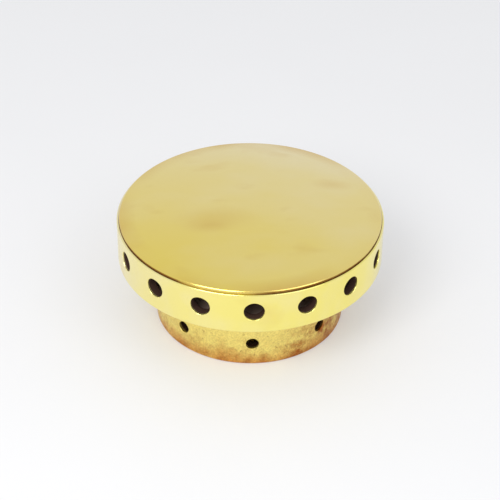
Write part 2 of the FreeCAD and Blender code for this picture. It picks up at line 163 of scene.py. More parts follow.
def rounded(corners, steps=6):
    """Outline through corners of (radius, height) or (radius, height, fillet).

    A fillet is an arc that touches both edges, in equal steps, with one guard point on each edge beside it. Its points
    turn evenly about its centre from the first touching point to the last.
    """
    corner = np.array([c[:2] for c in corners], float)
    fillet = np.array([c[2] if len(c) > 2 else 0.0 for c in corners])
    outline = []
    for i in range(len(corner)):
        here = corner[i]
        if not fillet[i]:
            outline.append(here[None])
            continue
        back = corner[i - 1] - here
        ahead = corner[(i + 1) % len(corner)] - here
        back /= np.linalg.norm(back)
        ahead /= np.linalg.norm(ahead)
        half = np.arccos(np.clip(back @ ahead, -1, 1)) / 2
        reach = fillet[i] / np.tan(half)
        middle = (back + ahead) / np.linalg.norm(back + ahead)
        centre = here + middle * fillet[i] / np.sin(half)
        first, last = here + back * reach, here + ahead * reach
        share = np.linspace(0, 1, steps + 1)[:, None]
        sweep = np.pi - 2 * half
        arc = np.sin((1 - share) * sweep) * (first - centre) + np.sin(share * sweep) * (last - centre)
        guard = 0.25 * fillet[i]
        outline += [(first + back * guard)[None], centre + arc / np.sin(sweep), (last + ahead * guard)[None]]
    return np.concatenate(outline)


def grid_faces(rows, columns, wrap_rows=False, wrap_columns=False):
    """Quads of a grid of rows by columns points, numbered row by row, joined end to end where asked."""
    r = np.arange(rows if wrap_rows else rows - 1)[:, None]
    c = np.arange(columns if wrap_columns else columns - 1)[None, :]
    r1, c1 = (r + 1) % rows, (c + 1) % columns
    corners = (r * columns + c, r * columns + c1, r1 * columns + c1, r1 * columns + c)
    return np.stack(np.broadcast_arrays(*corners), -1).reshape(-1, 4)


def gridded(points, closed=False):
    """A surface, which is its points and quads, from a grid of points whose columns run all the way round.

    Its rows are joined end to end too where it is closed.
    """
    return points.reshape(-1, 3), grid_faces(*points.shape[:2], wrap_rows=closed, wrap_columns=True)


def polar(radius, azimuth, height):
    """Points (radius cos azimuth, radius sin azimuth, height), for arrays that broadcast to one shape."""
    return np.stack(np.broadcast_arrays(radius * np.cos(azimuth), radius * np.sin(azimuth), height), -1)


def turned(outline, steps, first=0.0, closed=True):
    """Surface of revolution.

    Point (i, j) is outline point i, (radius, height), turned about Z to azimuth first + j / steps of a turn.
    """
    azimuth = first + np.arange(steps) / steps * TURN
    radius, height = outline[:, 0][:, None], outline[:, 1][:, None]
    return gridded(polar(radius, azimuth, height), closed)


def tube(path, radius, sides, closed=False):
    """Round bar along a path.

    Point (i, j) is path point i plus radius times the direction at angle j / sides of a turn in the plane across the
    path there. Open ends are closed by a shallow hollow: their last three rings shrink to a point on the path, one
    radius inside the end.
    """
    ahead = np.roll(path, -1, 0) - np.roll(path, 1, 0)
    if not closed:
        ahead[0], ahead[-1] = path[1] - path[0], path[-1] - path[-2]
    ahead /= np.linalg.norm(ahead, axis=1)[:, None]
    across = np.cross(ahead, [0, 0, 1.0])
    across /= np.linalg.norm(across, axis=1)[:, None]
    over = np.cross(across, ahead)
    if not closed:
        cap = np.linspace(0, np.pi / 2, 4)[:3]
        stand = radius * (1 - np.sin(cap))[:, None]
        path = np.concatenate([path[:1] + ahead[:1] * stand, path[1:-1], path[-1:] - (ahead[-1:] * stand)[::-1]])
        size = np.concatenate([radius * np.sin(cap), np.full(len(across) - 2, radius), radius * np.sin(cap)[::-1]])
        size[[0, -1]] = 0
        across = np.concatenate([np.repeat(across[:1], 3, 0), across[1:-1], np.repeat(across[-1:], 3, 0)])
        over = np.concatenate([np.repeat(over[:1], 3, 0), over[1:-1], np.repeat(over[-1:], 3, 0)])
    else:
        size = np.full(len(path), radius)
    angle = (np.arange(sides) / sides * TURN)[None, :, None]
    ring = across[:, None] * np.cos(angle) + over[:, None] * np.sin(angle)
    return gridded(path[:, None] + ring * size[:, None, None], closed)


def cell_edge(half_width, z_low, z_high, across, up):
    """Points round a rectangle of (arc, height), anticlockwise from its lower left corner, even on each side."""
    x = np.linspace(-half_width, half_width, across + 1)
    z = np.linspace(z_low, z_high, up + 1)
    return np.concatenate(
        [
            np.stack([x[:-1], np.full(across, z_low)], -1),
            np.stack([np.full(up, half_width), z[:-1]], -1),
            np.stack([x[:0:-1], np.full(across, z_high)], -1),
            np.stack([np.full(up, -half_width), z[:0:-1]], -1),
        ]
    )


def ragged_edges(count, angle, amount, seed):
    """How far each of count holes strays from round, as a share of its radius: five sine waves, random phases."""
    random = np.random.default_rng(seed)
    wave = np.arange(2, 7)
    phase = random.uniform(0, TURN, (count, 1, len(wave)))
    size = random.uniform(0.3, 1, (count, 1, len(wave))) / wave
    return 1 + amount * (size * np.sin(wave * angle[None, :, None] + phase)).sum(-1)


def drilled_wall(outside, inside, count, hole_r, hole_z, across, up, rounding, ragged, seed, clean):
    """The two faces of a round wall and the holes drilled through it.

    Each hole has its own cell, an equal share of the wall. On a face of radius R, the point at share s and direction t
    is the rim point (R asin(u / R), hole_z + w), with (u, w) on the hole's circle, moved s of the way to point t of
    the cell's edge. The rim rounds off into the hole along a quarter circle, and the bore joins the two rims.
    outside and inside are (radius, lowest, highest). The sooty mark, which is also painted shade, is 0 on the outside
    and down to the depth clean in a bore, and rises to 1 over the next 0.4 mm.
    """
    half_turn = np.pi / count
    edges = [cell_edge(half_turn * r, a, b, across, up) for r, a, b in (outside, inside)]
    angle = np.arctan2(edges[0][:, 1] - hole_z, edges[0][:, 0])
    stray = ragged_edges(count, angle, ragged, seed)
    share = np.array([0, 0.03, 0.09, 0.18, 0.3, 0.45, 0.62, 0.8, 1.0])
    lip_rings, bore_rings = 4, 8
    turn = np.linspace(0, np.pi / 2, lip_rings)
    sheets = []
    for (radius, _, _), edge, inward in zip((outside, inside), edges, (1, -1)):
        rim = hole_r * stray[:, None, :] + rounding
        u, w = rim * np.cos(angle), rim * np.sin(angle)
        s = share[::-1][None, :, None]
        arc = (1 - s) * radius * np.arcsin(u / radius) + s * edge[:, 0]
        face = polar(radius, arc / radius, (1 - s) * (hole_z + w) + s * edge[:, 1])
        bent = turn[1:][None, :, None]
        around = hole_r * stray[:, None, :] + rounding * (1 - np.sin(bent))
        u, w = around * np.cos(angle), around * np.sin(angle)
        depth = np.sqrt(radius**2 - u**2) - inward * rounding * (1 - np.cos(bent))
        lip = np.stack([depth, u, hole_z + w], -1)
        sheets.append(np.concatenate([face, lip], 1))
    front, back = sheets[0], sheets[1][:, ::-1]
    bore = np.linspace(0, 1, bore_rings + 2)[1:-1][None, :, None, None]
    bore = front[:, -1:] * (1 - bore) + back[:, :1] * bore
    cells = np.concatenate([front, bore, back], 1)
    inner = np.clip((outside[0] - clean - cells[..., 0]) / (0.4 * MM), 0, 1)
    inner[:, : len(share)] = 0
    azimuth = (FRONT + np.arange(count) / count * TURN)[:, None, None]
    x, y = cells[..., 0], cells[..., 1]
    cos, sin = np.cos(azimuth), np.sin(azimuth)
    cells = np.stack([x * cos - y * sin, x * sin + y * cos, cells[..., 2]], -1)
    rows, columns = cells.shape[1:3]
    one = grid_faces(rows, columns, wrap_columns=True)
    faces = (np.arange(count)[:, None, None] * rows * columns + one).reshape(-1, 4)
    return cells.reshape(-1, 3), faces, inner.reshape(-1)


def seam_residue_and_shade(points, depth):
    """How brown the seam is, residue and painted shade of its crease: depth, cut to 0 to 1, times two sine waves round
    the axis, almost 0 at the front left, where the lamp's highlight lies.

    The clean stretch is exp(-(angle from its middle / its half width)^4).
    """
    middle, half_width = math.radians(15), math.radians(17)
    azimuth = np.arctan2(points[:, 1], points[:, 0])
    away = (azimuth - FRONT + middle + np.pi) % TURN - np.pi
    clean = np.exp(-((away / half_width) ** 4))
    uneven = 0.8 + 0.14 * np.sin(5 * azimuth + 0.6) + 0.1 * np.sin(17 * azimuth + 2.0)
    return np.clip(depth, 0, 1) * uneven * (1 - 0.9 * clean)


def joined(*surfaces):
    """Several surfaces as one list of points and one list of quads."""
    start = np.cumsum([0] + [len(s[0]) for s in surfaces[:-1]])
    faces = np.concatenate([s[1] + k for s, k in zip(surfaces, start)])
    return np.concatenate([s[0] for s in surfaces]), faces


# ------------------------------------------------------------------ pieces


def piece(name, surface, material, body, nodes=(), marks=None, sharp=35):
    """Makes a mesh piece: welds points that meet, closes poles, points faces outwards and sets its body and slot.

    surface is (points, quads), and marks is {attribute name: one number for each point}; welded points keep the
    largest.
    """
    points, faces = surface
    key = np.round(points / WELD).astype(np.int64)
    _, first, place = np.unique(key, axis=0, return_index=True, return_inverse=True)
    place = place.reshape(-1)
    welded, faces = points[first], place[faces]
    mesh = bpy.data.meshes.new(name)
    keep = faces != np.roll(faces, 1, 1)
    full = keep.sum(1) >= 3
    faces, keep = faces[full], keep[full]
    corners = keep.sum(1)
    mesh.vertices.add(len(welded))
    mesh.vertices.foreach_set("co", welded.astype(np.float32).ravel())
    mesh.loops.add(int(corners.sum()))
    mesh.loops.foreach_set("vertex_index", faces[keep].astype(np.int32))
    mesh.polygons.add(len(faces))
    starts = np.concatenate([[0], np.cumsum(corners)[:-1]])
    mesh.polygons.foreach_set("loop_start", starts.astype(np.int32))
    mesh.update(calc_edges=True)
    mesh.validate()
    shape = bmesh.new()
    shape.from_mesh(mesh)
    bmesh.ops.recalc_face_normals(shape, faces=shape.faces)
    shape.to_mesh(mesh)
    shape.free()
    for mark, values in (marks or {}).items():
        largest = np.zeros(len(welded))
        np.maximum.at(largest, place, values)
        attribute = mesh.attributes.new(mark, "FLOAT", "POINT")
        attribute.data.foreach_set("value", largest.astype(np.float32))
    mesh.shade_smooth()
    mesh.set_sharp_from_angle(angle=math.radians(sharp))
    made = bpy.data.objects.new(name, mesh)
    bpy.context.scene.collection.objects.link(made)
    mesh.materials.append(material)
    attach(made, body)
    if nodes:
        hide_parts(*nodes)
    return made


def dress(node, material):
    """Gives a CAD node a finish."""
    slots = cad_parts[node].data.materials
    slots.clear()
    slots.append(material)


# ------------------------------------------------------------------ finishes


def feed(node, inputs):
    """Fills a node's inputs: a socket is linked, a colour gets an alpha of 1, and any other value is set."""
    for name, value in inputs.items():
        socket = node.inputs[name]
        if isinstance(value, bpy.types.NodeSocket):
            node.id_data.links.new(value, socket)
        else:
            socket.default_value = (*value, 1) if socket.type == "RGBA" else value


def add(tree, kind, inputs=None, stops=None, out=None, **settings):
    """Adds one shader node with its settings, its inputs' values or the sockets that feed them, and its stops.

    Gives back the output named out, or else the first one in use.
    """
    made = tree.nodes.new("ShaderNode" + kind)
    for name, value in settings.items():
        setattr(made, name, value)
    feed(made, inputs or {})
    if stops:
        ramp = made.color_ramp
        while len(ramp.elements) < len(stops):
            ramp.elements.new(0.5)
        for element, (position, value) in zip(ramp.elements, stops):
            element.position, element.color = position, tuple(value) + (1,)
    return made.outputs[out] if out else next(socket for socket in made.outputs if socket.enabled)


def finish(name):
    """A new material, with its node tree, its surface shader and the object's own coordinates."""
    made = bpy.data.materials.new(name)
    made.use_nodes = True
    tree = made.node_tree
    surface = next(n for n in tree.nodes if n.type == "BSDF_PRINCIPLED")
    place = add(tree, "TexCoord", out="Object")
    return made, tree, surface, place


def polished_brass(name, tone, colours, patch, painted_back_sheen, lean, painted_rim_reflection, warm_spots=()):
    """Polished cast brass: a yellow mirror softened by turning marks, pale haze, painted sheen and smudges, brown at
    seams.
    """
    # Its pale sheen towards the back and its warm margin near the edge are painted reflections; the brown at its seams
    # is residue with painted shade.
    made, tree, surface, place = finish(name)
    # Haze of dried water: patches about as long as patch, over a painted pale sheen, a painted reflection, that
    # thickens towards the back, and to the right by the share lean.
    wiped = add(tree, "Mapping", {"Vector": place, "Scale": (1.0, 1.8, 1.0), "Rotation": (0, 0, 0.35)})
    haze = add(tree, "TexNoise", {"Vector": wiped, "Scale": 1 / patch, "Detail": 3.0, "Roughness": 0.5})
    patches = add(tree, "MapRange", {"Value": haze, "From Min": 0.42, "From Max": 0.75, "To Max": 0.2})
    across = add(tree, "VectorMath", {0: place, 1: (lean, 0.95, 0)}, operation="DOT_PRODUCT")
    painted_sheen = add(tree, "MapRange", {"Value": across, "From Min": -38 * MM, "From Max": 38 * MM, "To Max": painted_back_sheen})
    haze_and_sheen = add(tree, "Math", {0: patches, 1: painted_sheen}, operation="ADD", use_clamp=True)
    pale = add(tree, "Mix", {"Factor": haze_and_sheen, "A": tone, "B": colours.haze}, data_type="RGBA")
    # Warm smudges about 16 mm across, few of them, and a patchy warmer margin that begins 4.5 mm inside the edge,
    # which is a painted reflection.
    smudge = add(tree, "TexNoise", {"Vector": wiped, "Scale": 1 / (16.1 * MM), "Detail": 2.5, "Roughness": 0.5})
    smudged = add(tree, "MapRange", {"Value": smudge, "From Min": 0.6, "From Max": 0.85, "To Max": 0.35})
    level = add(tree, "VectorMath", {0: place, 1: (1, 1, 0)}, operation="MULTIPLY")
    radius = add(tree, "VectorMath", {0: level}, operation="LENGTH")
    margin = add(
        tree, "MapRange",
        {"Value": radius, "From Min": 32.5 * MM, "From Max": 37 * MM, "To Max": painted_rim_reflection},
    )
    rim_patches = add(tree, "TexNoise", {"Vector": place, "Scale": 1 / (26.3 * MM), "Detail": 2.0})
    patchy = add(tree, "MapRange", {"Value": rim_patches, "From Min": 0.4, "From Max": 0.62, "To Min": 0.1, "To Max": 1.1})
    painted_rim_band = add(tree, "Math", {0: margin, 1: patchy}, operation="MULTIPLY")
    warmth = add(tree, "Math", {0: smudged, 1: painted_rim_band}, operation="ADD", use_clamp=True)
    warm = add(tree, "Mix", {"Factor": warmth, "A": pale, "B": colours.tarnish}, data_type="RGBA")
    # Warm spots, each (x, y, half length): a warm spot that fades out evenly, half as wide as it is long.
    for x, y, reach in warm_spots:
        moved = add(tree, "VectorMath", {0: place, 1: (x, y, 0)}, operation="SUBTRACT")
        squeezed = add(tree, "VectorMath", {0: moved, 1: (1, 2, 0)}, operation="MULTIPLY")
        away = add(tree, "VectorMath", {0: squeezed}, operation="LENGTH")
        spot = add(
            tree, "MapRange",
            {"Value": away, "From Min": reach, "From Max": 0, "To Max": 0.24}, interpolation_type="SMOOTHSTEP",
        )
        warm = add(tree, "Mix", {"Factor": spot, "A": warm, "B": colours.tarnish}, data_type="RGBA")
    # Brown residue with painted crease shade on the points marked as beside a seam, oxide inside the head, and a sooty
    # colour with painted shade deep in the ports' bores.
    fine = add(tree, "TexNoise", {"Vector": place, "Scale": 1 / (1.43 * MM), "Detail": 4.0})
    paint, covered = warm, {}
    for mark in ("grime", "oxide", "soot"):
        amount = add(tree, "Attribute", out="Fac", attribute_name=mark)
        broken = add(tree, "Math", {0: amount, 1: fine}, operation="MULTIPLY")
        both = add(tree, "Math", {0: amount, 1: broken}, operation="ADD")
        share = add(tree, "MapRange", {"Value": both, "From Min": 0.15, "From Max": 1.1})
        paint = add(tree, "Mix", {"Factor": share, "A": paint, "B": getattr(colours, mark)}, data_type="RGBA")
        covered[mark] = share
    soot_shade_and_oxide = add(tree, "Math", {0: covered["soot"], 1: covered["oxide"]}, operation="MAXIMUM")
    shine = add(tree, "MapRange", {"Value": haze_and_sheen, "To Min": 0.15, "To Max": 0.3})
    dull = add(tree, "Mix", {"Factor": covered["grime"], "A": shine, "B": 0.5}, data_type="FLOAT")
    rough = add(tree, "Mix", {"Factor": soot_shade_and_oxide, "A": dull, "B": 0.85}, data_type="FLOAT")
    metal = add(tree, "MapRange", {"Value": soot_shade_and_oxide, "To Min": 1.0, "To Max": 0.2})
    # Turning marks 0.35 mm apart, drawn coarser than the real ones so that they show, over a slight unevenness.
    uneven = add(tree, "TexNoise", {"Vector": place, "Scale": 1 / (16.7 * MM), "Detail": 2.0})
    bump = add(tree, "Bump", {"Height": uneven, "Strength": 0.12, "Distance": 0.6 * MM})
    rings = add(
        tree, "TexWave", {"Vector": place, "Scale": 1 / (0.35 * MM) / TURN, "Distortion": 1.2, "Detail": 2.0},
        out="Fac", wave_type="RINGS", rings_direction="Z",
    )
    bump = add(tree, "Bump", {"Height": rings, "Strength": 0.03, "Distance": 0.2 * MM, "Normal": bump})
    feed(surface, {"Base Color": paint, "Metallic": metal, "Roughness": rough, "Normal": bump})
    return made


def cast_brass(colours):
    """Sand-cast brass: grainy, pitted yellow skin, coppery foot, brown stains low down and at +x, painted shade at +x.
    """
    made, tree, surface, place = finish("sand_cast_brass")
    height = add(tree, "SeparateXYZ", {"Vector": place}, out="Z")
    sideways = add(tree, "SeparateXYZ", {"Vector": place}, out="X")
    cloud = add(tree, "TexNoise", {"Vector": place, "Scale": 1 / (11.1 * MM), "Detail": 4.0, "Roughness": 0.65})
    rise = add(tree, "MapRange", {"Value": height, "From Min": 0.0, "From Max": 10 * MM})
    mixed = add(tree, "Math", {0: rise, 1: cloud}, operation="ADD")
    skin = add(tree, "ValToRGB", {"Fac": mixed}, [(0.42, colours.cast_low), (1.0, colours.cast_high)])
    # Brown stains about 4 mm across, low down and on the +x side, with painted shade over the +x side.
    stain = add(tree, "TexNoise", {"Vector": place, "Scale": 1 / (3.85 * MM), "Detail": 6.0, "Roughness": 0.75})
    blots = add(tree, "MapRange", {"Value": stain, "From Min": 0.42, "From Max": 0.68})
    beside = add(tree, "MapRange", {"Value": sideways, "From Min": 7 * MM, "From Max": 21 * MM, "To Max": 1.0})
    below = add(
        tree, "MapRange",
        {"Value": height, "From Min": 0.5 * MM, "From Max": 10 * MM, "To Min": 0.9, "To Max": 0.03},
    )
    reach = add(tree, "Math", {0: beside, 1: below}, operation="ADD", use_clamp=True)
    stained = add(tree, "Math", {0: blots, 1: reach}, operation="MULTIPLY")
    # Painted shade: a fifth of the stain colour over the +x side, away from the key lamp.
    stain_and_side_shade = add(tree, "Math", {0: beside, 1: 0.2, 2: stained}, operation="MULTIPLY_ADD", use_clamp=True)
    # Grain of the sand, about 0.5 mm, and scattered pits of about 1 mm.
    grain = add(tree, "TexNoise", {"Vector": place, "Scale": 1 / (0.526 * MM), "Detail": 3.0, "Roughness": 0.6})
    pits = add(tree, "TexNoise", {"Vector": place, "Scale": 1 / MM, "Detail": 2.0, "Roughness": 0.5})
    pit_amount = add(tree, "MapRange", {"Value": pits, "From Min": 0.64, "From Max": 0.76})
    low_down = add(
        tree, "MapRange",
        {"Value": height, "From Min": 2 * MM, "From Max": 14 * MM, "To Min": 0.7, "To Max": 0.1},
    )
    pitted = add(tree, "Math", {0: pit_amount, 1: low_down}, operation="MULTIPLY")
    brown = add(tree, "Mix", {"Factor": stain_and_side_shade, "A": skin, "B": colours.stain}, data_type="RGBA")
    speckle = add(tree, "Mix", {"Factor": pitted, "A": brown, "B": colours.pit}, data_type="RGBA")
    grainy = add(tree, "MapRange", {"Value": grain, "From Min": 0.3, "From Max": 0.7, "To Min": 0.86, "To Max": 1.16})
    tone = add(tree, "Mix", {"Factor": 1.0, "A": speckle, "B": grainy}, data_type="RGBA", blend_type="MULTIPLY")
    # Painted shade deep in the air holes' bores, in a sooty colour.
    inside = add(tree, "Attribute", out="Fac", attribute_name="soot")
    paint = add(tree, "Mix", {"Factor": inside, "A": tone, "B": colours.soot}, data_type="RGBA")
    metal = add(tree, "MapRange", {"Value": inside, "To Min": 1.0, "To Max": 0.55})
    rough = add(tree, "MapRange", {"Value": grain, "From Min": 0.3, "From Max": 0.7, "To Min": 0.5, "To Max": 0.36})
    lumps = add(tree, "Bump", {"Height": cloud, "Strength": 0.5, "Distance": 1.2 * MM})
    holes = add(
        tree, "Bump", {"Height": pit_amount, "Strength": 0.6, "Distance": 0.15 * MM, "Normal": lumps},
        invert=True,
    )
    sand = add(tree, "Bump", {"Height": grain, "Strength": 0.5, "Distance": 0.18 * MM, "Normal": holes})
    feed(surface, {"Base Color": paint, "Metallic": metal, "Roughness": rough, "Normal": sand})
    return made


def plain_metal(name, tone, roughness, spacing, depth, blotch, stretch=(1, 1, 1)):
    """Drawn or machined metal: marks a spacing apart along one direction, and slight blotches of a surface film."""
    made, tree, surface, place = finish(name)
    drawn = add(tree, "Mapping", {"Vector": place, "Scale": stretch})
    marks = add(tree, "TexNoise", {"Vector": drawn, "Scale": 1 / spacing, "Detail": 4.0, "Roughness": 0.6})
    cloud = add(tree, "TexNoise", {"Vector": place, "Scale": 1 / (6.25 * MM), "Detail": 3.0})
    film = add(tree, "MapRange", {"Value": cloud, "From Min": 0.4, "From Max": 0.7})
    paint = add(tree, "Mix", {"Factor": film, "A": tone, "B": [c * blotch for c in tone]}, data_type="RGBA")
    rough = add(tree, "MapRange", {"Value": marks, "To Min": roughness - 0.08, "To Max": roughness + 0.12})
    bump = add(tree, "Bump", {"Height": marks, "Strength": 0.3, "Distance": depth})
    feed(surface, {"Base Color": paint, "Metallic": 1.0, "Roughness": rough, "Normal": bump})
    return made


def soft_fibre(name, tone, spacing, roughness, depth):
    """Matted fibre: crossing hairs a spacing apart that scatter light, and patches of colour 8 times as large."""
    made, tree, surface, place = finish(name)
    hairs = add(
        tree, "TexNoise",
        {"Vector": place, "Scale": 1 / spacing, "Detail": 8.0, "Roughness": 0.75, "Distortion": 1.5},
    )
    patches = add(tree, "TexNoise", {"Vector": place, "Scale": 0.12 / spacing, "Detail": 3.0})
    mixed = add(tree, "Math", {0: hairs, 1: patches}, operation="MULTIPLY")
    shade = add(tree, "ValToRGB", {"Fac": mixed}, [(0.1, [c * 0.62 for c in tone]), (0.4, tone)])
    bump = add(tree, "Bump", {"Height": hairs, "Strength": 0.8, "Distance": depth})
    feed(surface, {"Base Color": shade, "Roughness": roughness, "Normal": bump})
    return made


def browned_graphite(colours):
    """Sheet graphite with a film of varnish from burnt spirit: olive where clean, brown where residue and painted seam
    shade lie.
    """
    made, tree, surface, place = finish("browned_graphite")
    # The residue mark also holds painted shade of the seam's crease.
    residue = add(tree, "Attribute", out="Fac", attribute_name="grime")
    fine = add(tree, "TexNoise", {"Vector": place, "Scale": 1 / (1.11 * MM), "Detail": 4.0})
    broken = add(tree, "Math", {0: fine, 1: residue}, operation="MULTIPLY")
    share = add(tree, "Math", {0: residue, 1: broken}, operation="ADD")
    brown = add(tree, "MapRange", {"Value": share, "From Min": 0.1, "From Max": 1.3})
    paint = add(tree, "Mix", {"Factor": brown, "A": colours.varnish, "B": colours.graphite}, data_type="RGBA")
    bump = add(tree, "Bump", {"Height": fine, "Strength": 0.5, "Distance": 0.03 * MM})
    feed(surface, {"Base Color": paint, "Roughness": 0.55, "Normal": bump})
    return made


def shared(name, tone, **look):
    """A plain metal that several pieces use, made once."""
    return bpy.data.materials.get(name) or plain_metal(name, tone, **look)


def sheet_brass(colours):
    """Plain brass sheet, a little dull, with rolling marks 0.2 mm apart."""
    look = dict(roughness=0.34, spacing=0.2 * MM, depth=0.04 * MM, blotch=0.72, stretch=(1, 0.06, 1))
    return shared("rolled_brass", colours.sheet, **look)


def stainless_steel(colours):
    """Plain stainless steel, turned or drawn: a grey mirror blurred by marks 0.3 mm apart that run round the axis."""
    look = dict(roughness=0.3, spacing=0.286 * MM, depth=0.03 * MM, blotch=0.85, stretch=(0.1, 0.1, 1))
    return shared("stainless_steel", colours.steel, **look)


# ------------------------------------------------------------------ operators


def chosen(context):
    """The scene's sizes and colours of the stove."""
    return context.scene.stove_sizes, context.scene.stove_colours


class STOVE_OT_head_cover(bpy.types.Operator):
    """Domed cover of the burner head"""

    bl_idname = "stove.head_cover"
    bl_label = "Head cover"
    bl_options = {"REGISTER", "UNDO"}

    def execute(self, context):
        sizes, colours = chosen(context)
        # Dome: an arc of the radius (a^2 + rise^2) / (2 rise), then an arc of a smaller radius round the edge.
        edge, crown = high("head_cover").x, high("head_cover").z
        under = sizes.seam + high("cover_gasket").z - low("cover_gasket").z
        round_off, dome_rings, rim_rings = 0.7 * MM, 40, 14
        shoulder_r, shoulder_z = edge - round_off, under + round_off
        rise = crown - shoulder_z
        crown_r = (shoulder_r**2 + rise**2) / (2 * rise)
        tilt = np.arcsin(shoulder_r / crown_r) * np.linspace(0, 1, dome_rings)
        dome = np.stack([crown_r * np.sin(tilt), crown - crown_r * (1 - np.cos(tilt))], -1)
        turn = np.linspace(tilt[-1], np.pi / 2, rim_rings)
        steep = np.sin(tilt[-1])
        rim_r = shoulder_r + round_off * (np.sin(turn) - steep) / (1 - steep)
        rim = np.stack([rim_r, under + round_off * np.cos(turn) / np.cos(tilt[-1])], -1)
        # Underside: a spigot that centres the cover in the band, the ceiling, and the boss with its blind bore.
        rest = under + 0.02 * MM
        spigot_r, spigot_low = sizes.band_radius - sizes.band_wall - 0.1 * MM, sizes.seam - 1.6 * MM
        inner_r, ceiling = spigot_r - 1.9 * MM, crown - 2.2 * MM
        boss_r, boss, blind = 4.6 * MM, low("head_cover").z, 4.2 * MM
        below = rounded(
            [
                (edge, rest),
                (spigot_r, rest),
                (spigot_r, spigot_low, 0.2 * MM),
                (inner_r, spigot_low, 0.2 * MM),
                (inner_r - 1.2 * MM, ceiling - 0.6 * MM, 0.6 * MM),
                (boss_r + 0.6 * MM, ceiling, 0.5 * MM),
                (boss_r, ceiling - 0.6 * MM),
                (boss_r, boss),
                (STUD_BORE, boss),
                (STUD_BORE, boss + blind),
                (0, boss + blind),
            ]
        )
        outline = np.concatenate([dome, rim[1:-1], below])
        points, faces = turned(outline, steps=384, closed=False)
        radius = np.hypot(points[:, 0], points[:, 1])
        oxide = ((points[:, 2] < under - 0.01 * MM) & (radius < spigot_r - 0.4 * MM)).astype(float)
        # The seam's mark on the cover's edge: residue and painted crease shade, left off at the front left.
        beside_seam = (under + 0.4 * MM - points[:, 2]) / (0.3 * MM) * (radius > edge - 1 * MM)
        warm_spots = ((-12 * MM, -9.5 * MM, 9 * MM), (-10 * MM, -6 * MM, 15 * MM), (24 * MM, 12 * MM, 8 * MM))
        brass = polished_brass(
            "turned_brass_cover", colours.cover, colours,
            patch=38 * MM, painted_back_sheen=0.55, lean=0.3, painted_rim_reflection=0.5, warm_spots=warm_spots,
        )
        marks = {"oxide": oxide, "grime": seam_residue_and_shade(points, beside_seam)}
        piece("head_cover_shell", (points, faces), brass, "head", ["head_cover"], marks)
        return {"FINISHED"}


class STOVE_OT_head_ring(bpy.types.Operator):
    """Ported ring of the burner head, with its floor and neck"""

    bl_idname = "stove.head_ring"
    bl_label = "Head ring"
    bl_options = {"REGISTER", "UNDO"}

    def execute(self, context):
        sizes, colours = chosen(context)
        # The band with its ports is one drilled wall. Its rim, and the floor with the neck, are outlines turned about
        # the axis in the same steps, so that their points meet the wall's.
        out, bore = sizes.band_radius, sizes.band_radius - sizes.band_wall
        foot, top = sizes.floor_low, sizes.seam
        floor = foot + sizes.floor_thickness
        across, up = 24, 18
        steps = sizes.port_count * across
        first = FRONT - np.pi / sizes.port_count
        out_low, out_high = foot + 0.5 * MM, top - 0.5 * MM
        in_low, in_high = floor + 1.3 * MM, top - 0.2 * MM
        wall = drilled_wall(
            (out, out_low, out_high), (bore, in_low, in_high), sizes.port_count,
            sizes.port_radius, sizes.port_height, across, up,
            rounding=0.22 * MM, ragged=0.025, seed=4, clean=0.35 * MM,
        )
        seam_r = high("cover_gasket").x
        land = [(seam_r + 0.3 * MM, top), (seam_r + 0.12 * MM, top), (seam_r - 0.5 * MM, top)]
        rim = rounded([(out, out_high), (out, top, 0.3 * MM), *land, (bore, top, 0.1 * MM), (bore, in_high)])
        ledge, ledge_low = sizes.neck_bore - 0.8 * MM, high("bridge").z
        neck_low = low("head_ring").z
        underside = rounded(
            [
                (bore, in_low),
                (bore, floor, 1.0 * MM),
                (ledge, floor, 0.4 * MM),
                (ledge, ledge_low),
                (sizes.neck_bore, ledge_low, 0.1 * MM),
                (sizes.neck_bore, neck_low, 0.4 * MM),
                (sizes.neck_radius, neck_low, 0.4 * MM),
                (sizes.neck_radius, foot, 0.15 * MM),
                (out, foot, 0.35 * MM),
                (out, out_low),
            ]
        )
        upper = turned(rim, steps, first, closed=False)
        lower = turned(underside, steps, first, closed=False)
        points, faces = joined(wall[:2], upper, lower)
        # Oxide covers the inside face and all that is turned inside it; only the ports' bores are sooty and painted
        # with shade deep inside.
        radius, height = np.hypot(lower[0][:, 0], lower[0][:, 1]), lower[0][:, 2]
        within = (height > floor - 0.5 * MM) | (radius < sizes.neck_bore + 0.2 * MM)
        within &= radius < bore + 0.01 * MM
        around = np.hypot(points[:, 0], points[:, 1])
        face = around[: len(wall[0])] < bore + 0.05 * MM
        soot = np.concatenate([wall[2] * ~face, np.zeros(len(upper[0]) + len(lower[0]))])
        oxide = np.concatenate([face, np.zeros(len(upper[0])), within]).astype(float)
        # The seam's mark on the band's land: residue and painted crease shade, left off at the front left.
        beside_seam = (points[:, 2] > top - 0.05 * MM) * (seam_r + 0.3 * MM - around) / (0.15 * MM)
        brass = polished_brass(
            "turned_brass_band", colours.band, colours, patch=9 * MM, painted_back_sheen=0.85, lean=-0.35, painted_rim_reflection=0.0
        )
        marks = {"soot": soot, "oxide": oxide, "grime": seam_residue_and_shade(points, beside_seam)}
        piece("head_ring_casting", (points, faces), brass, "head", ["head_ring"], marks)
        return {"FINISHED"}


